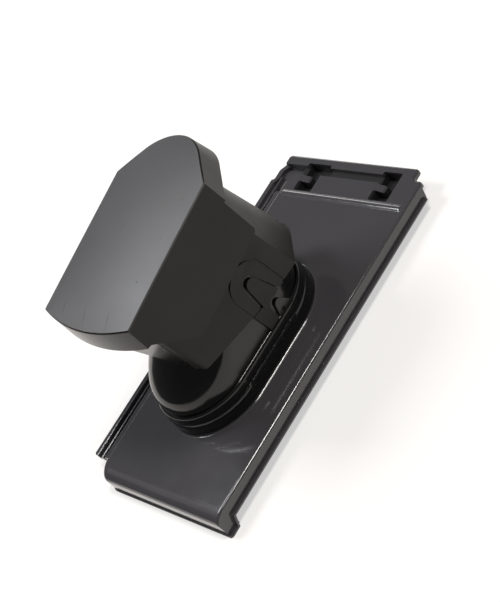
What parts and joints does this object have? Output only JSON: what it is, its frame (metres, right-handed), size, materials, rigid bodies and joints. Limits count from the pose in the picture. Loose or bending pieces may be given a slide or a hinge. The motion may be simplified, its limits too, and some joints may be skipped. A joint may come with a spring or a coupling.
{
  "type": "roof ventilation tile",
  "caption": "Flat moulded roof tile with an oval collar, a leaning neck round a duct pipe, and a hooded vent cowl keyed onto the neck.",
  "frame": {"origin": "middle of the vent neck, at the nose edge, on the plane the nose stands on", "axes": "+X across the tile towards the covered side edge, +Y up the slope to the head, +Z away from the roof"},
  "size_m": [0.258, 0.4593, 0.2515],
  "materials": {
    "tile_plastic": "satin",
    "neck_plastic": "satin",
    "cowl_plastic": "satin",
    "hood_plastic": "satin",
    "key_plastic": "satin",
    "pipe_plastic": "satin",
    "seal_rubber": "matt"
  },
  "bodies": {
    "root": {"base_tile": "tile_plastic", "neck": "neck_plastic", "key_left": "key_plastic", "key_right": "key_plastic", "duct_pipe": "pipe_plastic", "pipe_seal": "seal_rubber", "vent_housing": "cowl_plastic", "hood_cap": "hood_plastic"}
  },
  "joints": []
}
